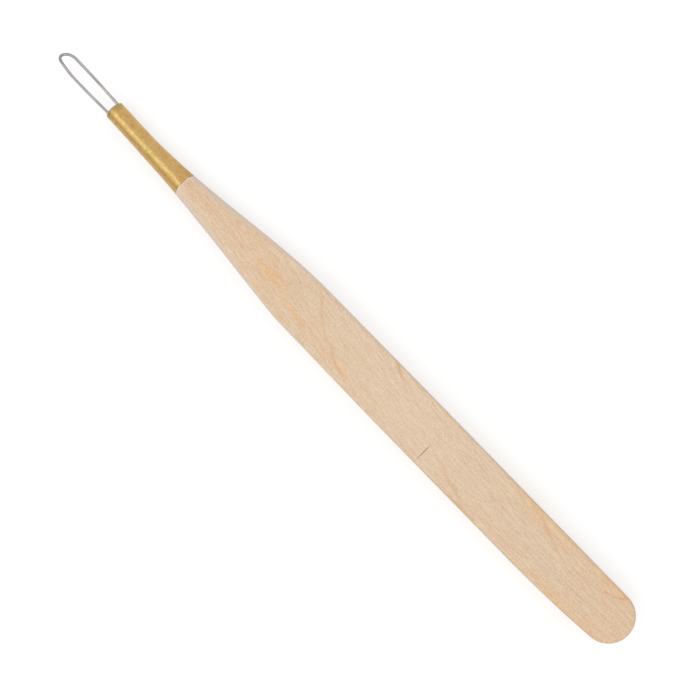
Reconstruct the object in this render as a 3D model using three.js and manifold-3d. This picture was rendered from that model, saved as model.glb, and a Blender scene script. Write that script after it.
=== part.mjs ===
// Pottery wire tool: a flat wooden handle, a drawn brass ferrule, and a wire loop set in its nose.
// Millimetres, +Z up. The tool lies flat: +X runs from the butt to the working tip, and the origin is
// at the middle of its footprint, on the surface that it lies on.
import * as THREE from "three";
import { mergeVertices } from "three/addons/utils/BufferGeometryUtils.js";
import Module from "manifold-3d";

const wasm = await Module();
wasm.setup();

// Wooden handle. Distances along it are measured from the shoulder that the ferrule butts against.
const HANDLE_LENGTH = 107.95;
const PADDLE_WIDTH = 10.19;
const PADDLE_THICKNESS = 4.8; // the neck keeps it, so it stands a little proud of the ferrule on top
const EDGE_RADIUS = 0.7;
const NECK_PROUD = 0.01; // how far the neck stands out past the ferrule's rim at each side
const NECK_SLOPE = 0.075; // how fast each side leaves the neck, in mm out per mm back
const PLUS_FLARE_LENGTH = 26.8; // the +Y side ends its flare in a crisp corner
const PLUS_FLARE_SLOPE = 0.09;
const PLUS_CORNER_INSET = 0.22; // that corner lies this far inside the paddle's full width
const MINUS_FLARE_LENGTH = 29.6; // the -Y side blends softly into the paddle
const MINUS_FLARE_SLOPE = 0.01;
const MINUS_CORNER_INSET = 0.1;
const SWELL_LENGTH = 24; // length over which both sides then reach the full width
const SANDING_LENGTH = 21.4; // over this stretch before the butt the +Y side was sanded away
const SANDING_DEPTH = 0.8;
const SANDING_POWER = 2.4;

// Drawn ferrule. Distances along it are measured from its rim at the shoulder.
const FERRULE_LENGTH = 18.15;
const FERRULE_RIM_DIAMETER = 4.55;
const FERRULE_NOSE_DIAMETER = 3.47;
const FERRULE_FLARE_LENGTH = 13;
const FERRULE_FLARE_POWER = 1.9;
const FERRULE_WALL = 0.25;
const RIM_ROUND = 0.09;
const RIM_HOLLOW = 0.45; // the rim runs this far back towards the nose on top and below
const RIM_HOLLOW_FADE = 3; // length over which the hollow dies out along the tube
const LIP_ROUND = 0.36;
const LIP_FLAT = 0.02; // what is left flat of the lip's face round the mouth
const LIP_LAND = 0.12; // length of the straight mouth behind the lip
const LIP_TURN_LENGTH = 0.33; // length over which the wall turns in

// The ferrule's nose was bent sideways, just past the end of the tenon that stiffens it.
const NOSE_LEAN = THREE.MathUtils.degToRad(1.8);
const NOSE_BEND_LENGTH = 1.6;

// Tenon, which fills the wide end of the ferrule.
const TENON_LENGTH = 7.85;
const TENON_CHAMFER = 0.25;
const TENON_ROOT = 2.5; // how far the tenon's own solid reaches back into the neck

// Wire loop. Distances along it are measured from the ferrule's mouth.
const WIRE_DIAMETER = 0.5;
const LEG_TO_TENON = 2; // resin between the ends of the legs and the tenon
const LEG_TO_WALL = 0.145; // resin between each leg and the ferrule's bore
const LOOP_REACH = 13.18;
const LOOP_BELLY_TO_TIP = 5.2; // from the widest place to the tip's outermost point
const LOOP_BELLY_WIDTH = 2.56; // between the centres of the two legs
const LOOP_TIP_LENGTH = 2.1; // length of the rounded end
const LOOP_TIP_WIDTH = 2.38;
const LOOP_TIP_SKEW = 0.25; // the tip's crown lies this far towards +Y
const LOOP_RETURN = THREE.MathUtils.degToRad(0.95); // the loop leans back from the nose's lean

// Fits.
const SHOULDER_GAP = 0.05;
const TENON_FIT = 0.03;
const RESIN_FIT = 0.03;
const RESIN_TO_TENON = 0.06;
const MOUTH_CLEARANCE = 0.06;
const RESIN_RECESS = 0.06; // how far the resin stops behind the turned-in lip

// Facets.
const CORNER_STEPS = 8;
const BUTT_STEPS = 30;
const ROUND_STEPS = 48;
const FLARE_STEPS = 11;
const LIP_STEPS = 6;
const WIRE_SIDES = 12;
const BURIED_LEG_STEPS = 4;
const OPEN_LEG_STEPS = 18;
const TIP_STEPS = 28;

// Sizes that follow from the ones above.
const paddleHalf = PADDLE_WIDTH / 2;
const paddleHalfThickness = PADDLE_THICKNESS / 2;
const neckRadius = FERRULE_RIM_DIAMETER / 2 + NECK_PROUD;
const buttRadius = paddleHalf - SANDING_DEPTH / 2;
const buttCentre = new THREE.Vector2(buttRadius - HANDLE_LENGTH, -SANDING_DEPTH / 2);
const sandingStart = HANDLE_LENGTH - buttRadius - SANDING_LENGTH;
const wireRadius = WIRE_DIAMETER / 2;
const noseBore = FERRULE_NOSE_DIAMETER / 2 - FERRULE_WALL;
const legOffset = noseBore - LEG_TO_WALL - wireRadius;
const tenonEnd = SHOULDER_GAP + TENON_LENGTH;
const legEnd = tenonEnd + LEG_TO_TENON;
const mouthAt = SHOULDER_GAP + FERRULE_LENGTH;
const mouthRadius = legOffset + wireRadius + MOUTH_CLEARANCE;
const tipStart = LOOP_REACH - wireRadius - LOOP_TIP_LENGTH;

const materials = {
  wood: new THREE.MeshStandardMaterial({ color: 0xdfc4a6, roughness: 0.62, metalness: 0 }),
  brass: new THREE.MeshStandardMaterial({ color: 0xc9a56c, roughness: 0.36, metalness: 1 }),
  steel: new THREE.MeshStandardMaterial({ color: 0xa8a6a3, roughness: 0.34, metalness: 1 }),
  resin: new THREE.MeshStandardMaterial({ color: 0x9c8450, roughness: 0.3, metalness: 0 }),
};

// A cubic from 0 to 1 along the flare that keeps the slope given at each end.
function flareWidth(distance, length, startWidth, endWidth, startSlope, endSlope) {
  const t = distance / length;
  const rise = endWidth - startWidth;
  const ease = 3 * t ** 2 - 2 * t ** 3;
  const leaving = t * (1 - t) ** 2 * startSlope * length;
  const arriving = t ** 2 * (t - 1) * endSlope * length;
  return startWidth + rise * ease + leaving + arriving;
}

// Half-width of one side of the handle at a distance back from the shoulder.
function sideWidth(distance, flareLength, cornerInset, endSlope) {
  const cornerWidth = paddleHalf - cornerInset;
  if (distance <= flareLength) {
    return flareWidth(distance, flareLength, neckRadius, cornerWidth, NECK_SLOPE, endSlope);
  }
  const along = (distance - flareLength) / SWELL_LENGTH;
  return cornerWidth + cornerInset * Math.min(along, 1);
}

function sandedAway(distance) {
  const along = (distance - sandingStart) / SANDING_LENGTH;
  return SANDING_DEPTH * Math.max(along, 0) ** SANDING_POWER;
}

function plusWidth(distance) {
  return sideWidth(distance, PLUS_FLARE_LENGTH, PLUS_CORNER_INSET, PLUS_FLARE_SLOPE) - sandedAway(distance);
}

function minusWidth(distance) {
  return sideWidth(distance, MINUS_FLARE_LENGTH, MINUS_CORNER_INSET, MINUS_FLARE_SLOPE);
}

// The outline's own half of a cross-section, from the top of the centreline to the bottom of it:
// flat on top, a quarter round, the edge, a quarter round and flat below. In the neck it is a half circle.
function halfSection(halfWidth, halfThickness, radius) {
  const points = [new THREE.Vector2(0, halfThickness)];
  for (const side of [1, -1]) {
    for (let i = 0; i <= CORNER_STEPS; i++) {
      const turn = (i / CORNER_STEPS) * (Math.PI / 2);
      const angle = side > 0 ? Math.PI / 2 - turn : -turn;
      const across = halfWidth - radius + radius * Math.cos(angle);
      const up = side * (halfThickness - radius) + radius * Math.sin(angle);
      points.push(new THREE.Vector2(across, up));
    }
  }
  points.push(new THREE.Vector2(0, -halfThickness));
  return points;
}

// How far the section has changed from the round neck (0) to the paddle (1).
function paddleShare(distance) {
  return THREE.MathUtils.smoothstep(distance, 0, Math.min(PLUS_FLARE_LENGTH, MINUS_FLARE_LENGTH));
}

// How far the rim and the shoulder that it butts against lie towards the nose, at a height.
function rimHollow(height) {
  return RIM_HOLLOW * Math.min(1, (height / neckRadius) ** 2);
}

function sectionRow(distance, spine, direction, halfWidth) {
  const wanted = THREE.MathUtils.lerp(neckRadius, EDGE_RADIUS, paddleShare(distance));
  const radius = Math.min(wanted, paddleHalfThickness, halfWidth);
  const fade = Math.max(0, 1 - distance / RIM_HOLLOW_FADE);
  return halfSection(halfWidth, paddleHalfThickness, radius).map((p) => {
    const x = spine.x + direction.x * p.x + rimHollow(p.y) * fade;
    return new THREE.Vector3(x, spine.y + direction.y * p.x, p.y);
  });
}

// Distances of the cross-sections, closest where the outline turns.
function sectionDistances() {
  const stops = [
    { to: PLUS_FLARE_LENGTH, steps: 18 },
    { to: MINUS_FLARE_LENGTH, steps: 2 },
    { to: PLUS_FLARE_LENGTH + SWELL_LENGTH, steps: 3 },
    { to: MINUS_FLARE_LENGTH + SWELL_LENGTH, steps: 1 },
    { to: sandingStart, steps: 2 },
    { to: -buttCentre.x, steps: 10 },
  ].sort((a, b) => a.to - b.to);
  const distances = [0];
  for (const stop of stops) {
    const from = distances.at(-1);
    for (let i = 1; i <= stop.steps; i++) {
      distances.push(from + ((stop.to - from) * i) / stop.steps);
    }
  }
  return distances;
}

// The spine moves over to the butt's centre along the sanded stretch.
function spineAt(distance) {
  const along = Math.max(0, (distance - sandingStart) / SANDING_LENGTH);
  return new THREE.Vector2(-distance, buttCentre.y * along);
}

// Sweeps half a cross-section down the +Y side, round the butt and back up the -Y side.
function handleRows() {
  const distances = sectionDistances();
  const rows = distances.map((d) => {
    const spine = spineAt(d);
    return sectionRow(d, spine, new THREE.Vector2(0, 1), plusWidth(d) - spine.y);
  });
  for (let i = 1; i < BUTT_STEPS; i++) {
    const angle = Math.PI / 2 + (Math.PI * i) / BUTT_STEPS;
    const direction = new THREE.Vector2(Math.cos(angle), Math.sin(angle));
    rows.push(sectionRow(HANDLE_LENGTH, buttCentre, direction, buttRadius));
  }
  for (const d of distances.toReversed()) {
    const spine = spineAt(d);
    rows.push(sectionRow(d, spine, new THREE.Vector2(0, -1), minusWidth(d) + spine.y));
  }
  return rows;
}

// Skins the rows and closes the neck with a fan round its centre.
function skin(rows) {
  const corners = [];
  for (let i = 0; i + 1 < rows.length; i++) {
    for (let j = 0; j + 1 < rows[i].length; j++) {
      const [a, b] = [rows[i][j], rows[i][j + 1]];
      const [c, d] = [rows[i + 1][j], rows[i + 1][j + 1]];
      corners.push(a, b, c, b, d, c);
    }
  }
  const neckCentre = new THREE.Vector3(0, 0, 0);
  const rim = [...rows[0], ...rows.at(-1).toReversed()];
  rim.forEach((point, i) => corners.push(neckCentre, rim[(i + 1) % rim.length], point));
  return new THREE.BufferGeometry().setFromPoints(corners);
}

// A closed mesh with shared corners, as the boolean library wants it.
function toSolid(geometry) {
  const bare = geometry.clone();
  bare.deleteAttribute("normal");
  bare.deleteAttribute("uv");
  const merged = mergeVertices(bare, 1e-5);
  const index = merged.index.array;
  const triangles = [];
  for (let i = 0; i < index.length; i += 3) {
    const [a, b, c] = index.slice(i, i + 3);
    if (a !== b && b !== c && c !== a) triangles.push(a, b, c);
  }
  const vertProperties = new Float32Array(merged.attributes.position.array);
  const triVerts = new Uint32Array(triangles);
  return new wasm.Manifold(new wasm.Mesh({ numProp: 3, vertProperties, triVerts }));
}

function fromSolid(solid) {
  const { vertProperties, triVerts } = solid.getMesh();
  const geometry = new THREE.BufferGeometry();
  geometry.setAttribute("position", new THREE.BufferAttribute(vertProperties, 3));
  geometry.setIndex(new THREE.BufferAttribute(triVerts, 1));
  return geometry.toNonIndexed();
}

// Revolves a profile of [distance along X, radius] pairs about the X axis.
function revolved(profile, sides = ROUND_STEPS) {
  const points = profile.map(([along, radius]) => new THREE.Vector2(radius, along));
  return new THREE.LatheGeometry(points, sides).rotateZ(-Math.PI / 2);
}

// The ferrule's outside and bore at a distance from its rim.
function ferruleRadius(along) {
  const nose = FERRULE_NOSE_DIAMETER / 2;
  const left = Math.max(0, 1 - along / FERRULE_FLARE_LENGTH);
  return nose + (FERRULE_RIM_DIAMETER / 2 - nose) * left ** FERRULE_FLARE_POWER;
}

function boreRadius(along) {
  return ferruleRadius(along) - FERRULE_WALL;
}

function evenly(from, to, steps) {
  return Array.from({ length: steps + 1 }, (_, i) => from + ((to - from) * i) / steps);
}

// Turns what lies past the tenon sideways, so all that is in the nose leans with it.
function leanWithNose(point) {
  const past = point.x - tenonEnd;
  if (past <= 0) return point;
  const bendRadius = NOSE_BEND_LENGTH / NOSE_LEAN;
  const angle = Math.min(past / bendRadius, NOSE_LEAN);
  const straight = Math.max(0, past - NOSE_BEND_LENGTH);
  const cos = Math.cos(angle);
  const sin = Math.sin(angle);
  const x = tenonEnd + bendRadius * sin + straight * cos + point.y * sin;
  const y = -bendRadius * (1 - cos) - straight * sin + point.y * cos;
  return point.set(x, y, point.z);
}

function leaned(geometry) {
  const position = geometry.attributes.position;
  const point = new THREE.Vector3();
  for (let i = 0; i < position.count; i++) {
    leanWithNose(point.fromBufferAttribute(position, i));
    position.setXYZ(i, point.x, point.y, point.z);
  }
  return geometry;
}

function tenonGeometry() {
  const radius = (along) => boreRadius(Math.max(0, along - SHOULDER_GAP)) - TENON_FIT;
  const bodyEnd = TENON_LENGTH - TENON_CHAMFER;
  const side = evenly(0, bodyEnd, FLARE_STEPS).map((along) => [along, radius(along)]);
  return revolved([
    [-TENON_ROOT, 0],
    [-TENON_ROOT, radius(0)],
    ...side,
    [TENON_LENGTH, radius(TENON_LENGTH) - TENON_CHAMFER],
    [TENON_LENGTH, 0],
  ]);
}

function handleGeometry() {
  return fromSolid(toSolid(skin(handleRows())).add(toSolid(tenonGeometry())));
}

// Draws the rim in towards the nose on top and below, less and less along the tube.
function rimHollowed(geometry) {
  const position = geometry.attributes.position;
  for (let i = 0; i < position.count; i++) {
    const x = position.getX(i);
    const fade = Math.max(0, 1 - x / RIM_HOLLOW_FADE);
    position.setX(i, x + rimHollow(position.getZ(i)) * fade);
  }
  return geometry;
}

// One closed wall: out along the outside, round the lip, in at the mouth and back down the bore.
function ferruleGeometry() {
  const nose = ferruleRadius(FERRULE_LENGTH);
  const round = Math.min(LIP_ROUND, nose - mouthRadius - LIP_FLAT);
  const outside = evenly(RIM_ROUND, FERRULE_FLARE_LENGTH, FLARE_STEPS).map((s) => [s, ferruleRadius(s)]);
  const lip = evenly(0, Math.PI / 2, LIP_STEPS).map((angle) => [
    FERRULE_LENGTH - round + round * Math.sin(angle),
    nose - round + round * Math.cos(angle),
  ]);
  const turnStart = FERRULE_LENGTH - LIP_LAND - LIP_TURN_LENGTH;
  const bore = evenly(FERRULE_FLARE_LENGTH, 0, FLARE_STEPS).map((s) => [s, boreRadius(s)]);
  const profile = [
    [0, ferruleRadius(0) - RIM_ROUND],
    ...outside,
    ...lip,
    [FERRULE_LENGTH, mouthRadius],
    [FERRULE_LENGTH - LIP_LAND, mouthRadius],
    [turnStart, boreRadius(turnStart)],
    ...bore,
  ];
  profile.push(profile[0]);
  return leaned(rimHollowed(revolved(profile)).translate(SHOULDER_GAP, 0, 0));
}

// A round bar at the leg's place, from just behind the leg's end to out past the mouth.
function legHole(side) {
  const back = legEnd - RESIN_FIT;
  const radius = wireRadius + RESIN_FIT;
  const hole = revolved([[back, 0], [back, radius], [mouthAt, radius], [mouthAt, 0]], WIRE_SIDES);
  return hole.translate(0, side * legOffset, 0);
}

// Resin fills the bore from the tenon to just behind the lip.
function resinGeometry() {
  const back = tenonEnd + RESIN_TO_TENON;
  const front = mouthAt - LIP_LAND - LIP_TURN_LENGTH - RESIN_RECESS;
  const wall = evenly(back, front, FLARE_STEPS).map((x) => [x, boreRadius(x - SHOULDER_GAP) - RESIN_FIT]);
  let solid = toSolid(revolved([[back, 0], ...wall, [front, 0]]));
  for (const side of [1, -1]) solid = solid.subtract(toSolid(legHole(side)));
  return leaned(fromSolid(solid));
}

// Half the space between the legs' centres: the mouth, then a slow swell to the belly, then in a little.
function legHalfSpacing(along) {
  const belly = LOOP_BELLY_WIDTH / 2;
  const bellyAt = LOOP_REACH - LOOP_BELLY_TO_TIP;
  if (along <= 0) return legOffset;
  if (along <= bellyAt) {
    return legOffset + (belly - legOffset) * Math.sin((along / bellyAt) * (Math.PI / 2));
  }
  const t = (along - bellyAt) / (tipStart - bellyAt);
  return belly + (LOOP_TIP_WIDTH / 2 - belly) * t ** 2;
}

// The wire's centreline in the nose's own straight frame, from one leg's end round to the other's.
function wirePoints() {
  const buried = evenly(legEnd - mouthAt, 0, BURIED_LEG_STEPS).slice(0, -1);
  const stops = [...buried, ...evenly(0, tipStart, OPEN_LEG_STEPS)];
  const leg = (side) => stops.map((along) => [along, side * legHalfSpacing(along)]);
  const tip = evenly(0, Math.PI, TIP_STEPS).slice(1, -1).map((angle) => [
    tipStart + LOOP_TIP_LENGTH * Math.sin(angle),
    (LOOP_TIP_WIDTH / 2) * Math.cos(angle) + LOOP_TIP_SKEW * Math.sin(angle),
  ]);
  return [...leg(1), ...tip, ...leg(-1).toReversed()].map(([along, across]) => {
    const back = Math.max(0, along) * Math.tan(LOOP_RETURN);
    return leanWithNose(new THREE.Vector3(mouthAt + along, across + back, 0));
  });
}

function wireGeometry() {
  const path = new THREE.CatmullRomCurve3(wirePoints(), false, "centripetal");
  path.getUtoTmapping = (u) => u; // the sections fall on the points, which crowd round the tip
  const section = new THREE.Shape().absarc(0, 0, wireRadius, 0, 2 * Math.PI, false);
  return new THREE.ExtrudeGeometry(section, {
    steps: path.points.length - 1,
    extrudePath: path,
    curveSegments: WIRE_SIDES / 2,
  });
}

function namedMesh(name, geometry, material) {
  const mesh = new THREE.Mesh(geometry, material);
  mesh.name = name;
  return mesh;
}

const tool = new THREE.Group();
tool.add(
  namedMesh("wood_handle", handleGeometry(), materials.wood),
  namedMesh("brass_ferrule", ferruleGeometry(), materials.brass),
  namedMesh("setting_resin", resinGeometry(), materials.resin),
  namedMesh("wire_loop", wireGeometry(), materials.steel),
);

// The shoulder is the pieces' common origin. Here the whole tool is laid on the ground, centred.
const box = new THREE.Box3().setFromObject(tool, true);
const middle = box.getCenter(new THREE.Vector3());
tool.position.set(-middle.x, -middle.y, -box.min.z);

export default tool;
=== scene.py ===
# Pottery wire tool lying on a pale floor: a flat hardwood handle, a drawn brass ferrule and a steel
# wire loop. Places are written in millimetres from the handle's shoulder, where the ferrule begins:
# +X runs on towards the tip of the loop and +Z up out of the handle's broad face.
import math

import bmesh
import bpy
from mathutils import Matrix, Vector


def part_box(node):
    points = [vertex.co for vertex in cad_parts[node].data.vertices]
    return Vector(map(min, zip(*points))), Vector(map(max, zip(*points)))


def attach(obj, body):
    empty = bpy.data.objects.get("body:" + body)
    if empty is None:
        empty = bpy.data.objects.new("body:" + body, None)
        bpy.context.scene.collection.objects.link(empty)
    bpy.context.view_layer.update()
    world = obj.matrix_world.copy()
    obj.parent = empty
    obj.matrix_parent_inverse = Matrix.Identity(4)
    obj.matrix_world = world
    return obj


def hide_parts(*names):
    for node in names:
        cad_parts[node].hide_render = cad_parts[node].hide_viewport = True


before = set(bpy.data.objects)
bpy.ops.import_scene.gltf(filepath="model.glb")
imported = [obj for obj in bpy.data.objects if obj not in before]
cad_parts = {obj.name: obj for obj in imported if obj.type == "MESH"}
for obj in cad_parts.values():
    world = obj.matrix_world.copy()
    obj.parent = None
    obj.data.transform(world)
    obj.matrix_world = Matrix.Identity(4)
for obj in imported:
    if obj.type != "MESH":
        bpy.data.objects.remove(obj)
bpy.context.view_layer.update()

bl_info = {
    "name": "Pottery Wire Tool",
    "version": (1, 0, 0),
    "blender": (4, 5, 0),
    "location": "3D View > Sidebar > Wire Tool",
    "description": "Models a potter's wire loop tool with its finishes and a plain studio",
    "category": "Add Mesh",
}

MM = 0.001
BODY = "root"

# The gap between the handle's shoulder and the ferrule's rim, in millimetres, before both are hollowed.
# Once they are, the rim sinks into the shoulder by up to 0.07 mm.
SHOULDER_GAP = 0.05

handle_low, handle_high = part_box("wood_handle")
ferrule_low, ferrule_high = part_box("brass_ferrule")
loop_low, loop_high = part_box("wire_loop")

# The handle's shoulder on the axis of the ferrule: every place below is measured from it.
SHOULDER = Vector((
    ferrule_low.x - SHOULDER_GAP * MM,
    (ferrule_low.y + ferrule_high.y) / 2,
    (handle_low.z + handle_high.z) / 2,
))


def place(x, y, z):
    """A place in millimetres from the shoulder, as a point of the frame in metres."""
    return SHOULDER + Vector((x, y, z)) * MM


def from_shoulder(point):
    """A point of the frame, in millimetres from the shoulder."""
    return (Vector(point) - SHOULDER) / MM


# Properties

def length(name, description, metres):
    return bpy.props.FloatProperty(
        name=name, description=description, default=metres, unit="LENGTH", precision=5
    )


def turn(name, description, degrees):
    return bpy.props.FloatProperty(
        name=name, description=description, default=math.radians(degrees), unit="ROTATION"
    )


def strength(name, description, value):
    return bpy.props.FloatProperty(name=name, description=description, default=value, min=0.0)


def linear(hex_colour):
    """An sRGB hex colour as linear red, green, blue and alpha."""
    channels = [int(hex_colour[i:i + 2], 16) / 255 for i in (1, 3, 5)]
    return [c / 12.92 if c <= 0.04045 else ((c + 0.055) / 1.055) ** 2.4 for c in channels] + [1.0]


def colour(name, description, hex_colour):
    return bpy.props.FloatVectorProperty(
        name=name, description=description, default=linear(hex_colour), size=4, subtype="COLOR",
        min=0.0, max=1.0,
    )


class HandleSizes(bpy.types.PropertyGroup):
    """Sizes of the hardwood handle"""
    length: length("Length", "From the shoulder to the end of the butt", SHOULDER.x - handle_low.x)
    width: length("Width", "Across the paddle", handle_high.y - handle_low.y)
    thickness: length("Thickness", "Of the stick, the same all along", handle_high.z - handle_low.z)
    edge: length("Eased edge", "Radius of the paddle's sanded edges", 0.7 * MM)
    proud: length("Neck proud", "How far the neck stands out past the ferrule's rim", 0.01 * MM)
    plus_flare: length("Flare, sanded side", "Length of the flare on the side that is sanded", 26.8 * MM)
    plus_inset: length("Corner, sanded side", "How far that flare's corner lies inside the width", 0.22 * MM)
    minus_flare: length("Flare, plain side", "Length of the flare on the other side", 29.6 * MM)
    minus_inset: length("Corner, plain side", "How far that flare's corner lies inside the width", 0.1 * MM)
    swell: length("Swell", "Length over which both sides then reach the full width", 24.0 * MM)
    sanding: length("Sanded stretch", "Length before the butt that is sanded off one side", 21.4 * MM)
    sanding_depth: length("Sanding depth", "How much is gone from that side at the butt", 0.8 * MM)
    tenon: length("Tenon", "Length of the tenon inside the ferrule", 7.9 * MM)


class FerruleSizes(bpy.types.PropertyGroup):
    """Sizes of the drawn brass ferrule"""
    length: length("Length", "From the rim to the nose", 18.15 * MM)
    rim: length("Rim diameter", "Where it meets the wood", ferrule_high.y - ferrule_low.y)
    nose: length("Nose diameter", "Of the straight part", 3.47 * MM)
    flare: length("Flare", "Length over which the tube widens to the rim", 13.0 * MM)
    wall: length("Wall", "Thickness of the tube", 0.25 * MM)
    rim_hollow: length("Rim hollow", "How far the rim runs towards the nose on top and below", 0.45 * MM)
    lip: length("Lip round", "Radius of the turned-in lip", 0.31 * MM)
    lean: turn("Nose lean", "How far the nose was bent sideways", 1.8)
    bend: length("Bend", "Length of the bend", 1.6 * MM)


class LoopSizes(bpy.types.PropertyGroup):
    """Sizes of the steel wire loop"""
    wire: length("Wire diameter", "Of the spring steel wire", loop_high.z - loop_low.z)
    reach: length("Reach", "From the ferrule's mouth to the tip", 13.18 * MM)
    leg_spacing: length("Leg spacing", "Between the centres of the legs in the ferrule's mouth", 2.18 * MM)
    buried: length("Buried legs", "How far the legs run back into the ferrule", 8.3 * MM)
    belly: length("Belly width", "Between the centres of the legs where they are widest", 2.56 * MM)
    belly_to_tip: length("Belly to tip", "From the widest place to the tip", 5.2 * MM)
    tip_length: length("Tip length", "Of the rounded end", 2.1 * MM)
    tip_width: length("Tip width", "Between the wire's centres where the rounded end begins", 2.38 * MM)
    tip_skew: length("Tip skew", "How far the crown lies to one side", 0.25 * MM)
    tip_shift: length("Tip shift", "How far the rounded end was pushed to the other side", 0.08 * MM)
    lean_back: turn("Lean back", "How far the loop leans back from the nose's lean", 0.95)


class Finishes(bpy.types.PropertyGroup):
    """Colours of the finishes"""
    wood: colour("Hardwood", "Sanded and left bare", "#e1c8ad")
    wood_pale: colour("Pale fibres", "Between the flecks of the hardwood", "#f5e0c4")
    wood_dark: colour("Flecks", "The dark fibres of the hardwood", "#d5a57a")
    wood_line: colour("Growth lines", "The late wood at the end of a year's growth", "#dc9f66")
    wood_warm: colour("Warm streaks", "Where the hardwood is more orange", "#e8bc87")
    # Painted sheen, not a colour of the wood: the pale, cool reflection of the white surroundings on the
    # rounded edges
    wood_sheen: colour("Cool edges", "Cut fibres on the rounded edges", "#edd7c6")
    hairline: colour("Hairlines", "The few short dark marks in the hardwood", "#8a5f3f")
    # Painted highlight: the pale line where the shoulder's rounded edge catches the light at the ferrule's
    # rim
    shoulder: colour("Cut shoulder", "The pale edge of the wood at the ferrule's rim", "#ece7e4")
    brass: colour("Brass", "Drawn and faintly tarnished", "#cda86b")
    brass_pale: colour("Pale brass", "Between the specks of tarnish", "#e0c58a")
    brass_red: colour("Reddened brass", "The coppery grains and blotches", "#b68145")
    # Painted shade, not worn metal: the turned-in lip darkened where it rounds away from the light
    brass_lip_shade: colour("Worn brass", "Round the turned-in lip", "#aa925b")
    tarnish: colour("Tarnish", "The duller brown in the brass", "#b08a54")
    steel: colour("Spring steel", "Drawn wire, dull bright", "#bab6b5")
    steel_line: colour("Draw lines", "The darker lines along the wire", "#827d7b")
    steel_blotch: colour("Steel blotches", "Where the wire was handled", "#9a8f8c")
    # Painted shade, not duller steel: one leg is darker because less light reflects from it
    steel_shaded_leg: colour("Dull leg", "The duller of the wire's two legs", "#9f9995")
    steel_bent: colour("Bent steel", "Round the tip, where bending dulled the wire", "#7c7776")
    filling: colour("Setting resin", "Hardened amber resin", "#9c8450")
    filling_dark: colour("Clouds", "The darker clouds in the resin", "#7d6334")


class StageSettings(bpy.types.PropertyGroup):
    """The studio round the tool"""
    camera_height: length("Camera height", "Above the tool's middle plane", 200.0 * MM)
    picture_width: length("Picture width", "What the picture spans at the tool's middle plane", 120.6 * MM)
    picture_turn: turn("Picture turn", "How far the picture is turned about the upright", 225.74)
    sky: strength("Sky", "Strength of the even light from all round", 0.83)
    key: strength("Key lamp", "Power of the long soft box overhead, in watts", 0.43)


def settings(group):
    return getattr(bpy.context.scene, group)


# Modelling

MERGE = 0.002  # vertices closer than this, in millimetres, become one
NEAR = 0.01  # what is picked by its place may be this far off, in millimetres


def deselect():
    bpy.ops.object.select_all(action="DESELECT")


def pick(piece):
    """Makes one piece the only one that an operator acts on."""
    deselect()
    piece.select_set(True)
    bpy.context.view_layer.objects.active = piece


def edit(piece):
    pick(piece)
    bpy.ops.object.mode_set(mode="EDIT")
    bpy.ops.mesh.select_mode(type="VERT")


def leave():
    bpy.ops.object.mode_set(mode="OBJECT")


def select_where(piece, test):
    """Selects the vertices that pass a test of their place in millimetres from the shoulder."""
    mesh = bmesh.from_edit_mesh(piece.data)
    for vertex in mesh.verts:
        vertex.select = bool(test(from_shoulder(vertex.co)))
    mesh.select_flush_mode()
    bmesh.update_edit_mesh(piece.data)


def finish_with(piece, kind, **values):
    """Adds a modifier with its values and applies it."""
    pick(piece)
    modifier = piece.modifiers.new(kind.title(), kind)
    for name, value in values.items():
        setattr(modifier, name, value)
    bpy.ops.object.modifier_apply(modifier=modifier.name)


def close_and_turn_out(piece):
    """Merges the doubles and turns every face outwards."""
    edit(piece)
    bpy.ops.mesh.select_all(action="SELECT")
    bpy.ops.mesh.remove_doubles(threshold=MERGE * MM)
    bpy.ops.mesh.select_all(action="SELECT")
    bpy.ops.mesh.normals_make_consistent(inside=False)
    leave()


def shade_smooth(piece, corner_degrees):
    """Smooth shading with crisp corners, and flats that stay flat."""
    pick(piece)
    bpy.ops.object.shade_smooth_by_angle(angle=math.radians(corner_degrees))
    finish_with(piece, "WEIGHTED_NORMAL", keep_sharp=True, weight=100)


def seat(piece, name, node, finish):
    """Names a finished piece, and puts it in its node's place with its finish."""
    piece.name = name
    piece.data.name = name
    piece.data.materials.clear()
    piece.data.materials.append(finish)
    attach(piece, BODY)
    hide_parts(node)


def drawn_line(name, anchors, closed, steps):
    """A Bezier line through anchors of (point, handle before, handle after), in millimetres."""
    deselect()
    bpy.ops.curve.primitive_bezier_curve_add(location=(0.0, 0.0, 0.0))
    line = bpy.context.object
    line.name = name
    line.data.dimensions = "3D"
    spline = line.data.splines[0]
    spline.bezier_points.add(len(anchors) - len(spline.bezier_points))
    for point, (at, before, after) in zip(spline.bezier_points, anchors):
        point.handle_left_type = "FREE"
        point.handle_right_type = "FREE"
        point.co = place(*at)
        point.handle_left = place(*before)
        point.handle_right = place(*after)
    spline.use_cyclic_u = closed
    line.data.resolution_u = steps
    line.data.render_resolution_u = 0
    return line


def as_mesh(line):
    pick(line)
    bpy.ops.object.convert(target="MESH")
    return bpy.context.object


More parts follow.
